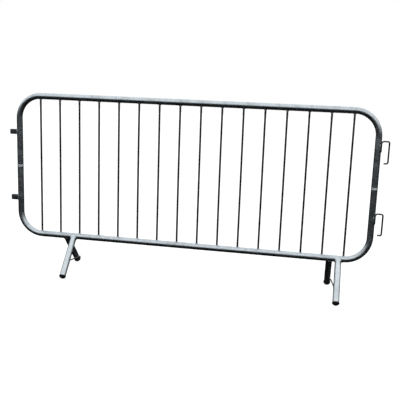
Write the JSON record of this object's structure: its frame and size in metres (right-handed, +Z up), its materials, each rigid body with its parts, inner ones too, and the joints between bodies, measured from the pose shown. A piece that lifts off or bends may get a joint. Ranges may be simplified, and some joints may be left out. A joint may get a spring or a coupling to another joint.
{
  "type": "crowd control barrier",
  "caption": "Free-standing crowd-control barrier: rounded tube frame with thin upright bars, slanting fixed legs, hooks at one end and loops at the other.",
  "frame": {"origin": "on the ground under the middle of the barrier, half way between the tips of the hooks and loops and between the front and rear feet", "axes": "+X along the barrier towards its hook end, +Y from the front face to the back, +Z up"},
  "size_m": [2.29, 0.4132, 1.107],
  "materials": {
    "galvanised_frame_tube": "hot-dip galvanised round tube, dull spangle",
    "galvanised_infill_tube": "hot-dip galvanised thin round tube",
    "galvanised_leg_tube": "hot-dip galvanised round tube",
    "galvanised_rod": "hot-dip galvanised bent rod",
    "galvanised_flat_bar": "hot-dip galvanised bent flat bar",
    "galvanised_weld": "galvanised weld bead",
    "black_rubber": "matt moulded rubber"
  },
  "bodies": {
    "root": {"top_rail": "galvanised_frame_tube", "bottom_rail": "galvanised_frame_tube", "left_upper_corner": "galvanised_frame_tube", "left_upper_upright": "galvanised_frame_tube", "left_lower_corner": "galvanised_frame_tube", "left_lower_upright": "galvanised_frame_tube", "right_upper_corner": "galvanised_frame_tube", "right_upper_upright": "galvanised_frame_tube", "right_lower_corner": "galvanised_frame_tube", "right_lower_upright": "galvanised_frame_tube", "left_joint_sleeve": "galvanised_frame_tube", "left_seam_weld": "galvanised_weld", "right_joint_sleeve": "galvanised_frame_tube", "right_seam_weld": "galvanised_weld", "plug_welds": "galvanised_weld", "infill_bar_01": "galvanised_infill_tube", "infill_bar_02": "galvanised_infill_tube", "infill_bar_03": "galvanised_infill_tube", "infill_bar_04": "galvanised_infill_tube", "infill_bar_05": "galvanised_infill_tube", "infill_bar_06": "galvanised_infill_tube", "infill_bar_07": "galvanised_infill_tube", "infill_bar_08": "galvanised_infill_tube", "infill_bar_09": "galvanised_infill_tube", "infill_bar_10": "galvanised_infill_tube", "infill_bar_11": "galvanised_infill_tube", "infill_bar_12": "galvanised_infill_tube", "infill_bar_13": "galvanised_infill_tube", "infill_bar_14": "galvanised_infill_tube", "infill_bar_15": "galvanised_infill_tube", "infill_bar_16": "galvanised_infill_tube", "top_bar_welds": "galvanised_weld", "bottom_bar_welds": "galvanised_weld", "left_front_leg": "galvanised_leg_tube", "left_front_foot_cap": "black_rubber", "left_rear_leg": "galvanised_leg_tube", "left_rear_foot_cap": "black_rubber", "left_leg_brace": "galvanised_rod", "right_front_leg": "galvanised_leg_tube", "right_front_foot_cap": "black_rubber", "right_rear_leg": "galvanised_leg_tube", "right_rear_foot_cap": "black_rubber", "right_leg_brace": "galvanised_rod", "leg_welds": "galvanised_weld", "brace_welds": "galvanised_weld", "upper_loop": "galvanised_flat_bar", "upper_hook": "galvanised_rod", "lower_loop": "galvanised_flat_bar", "lower_hook": "galvanised_rod", "loop_welds": "galvanised_weld", "hook_welds": "galvanised_weld"}
  },
  "joints": []
}
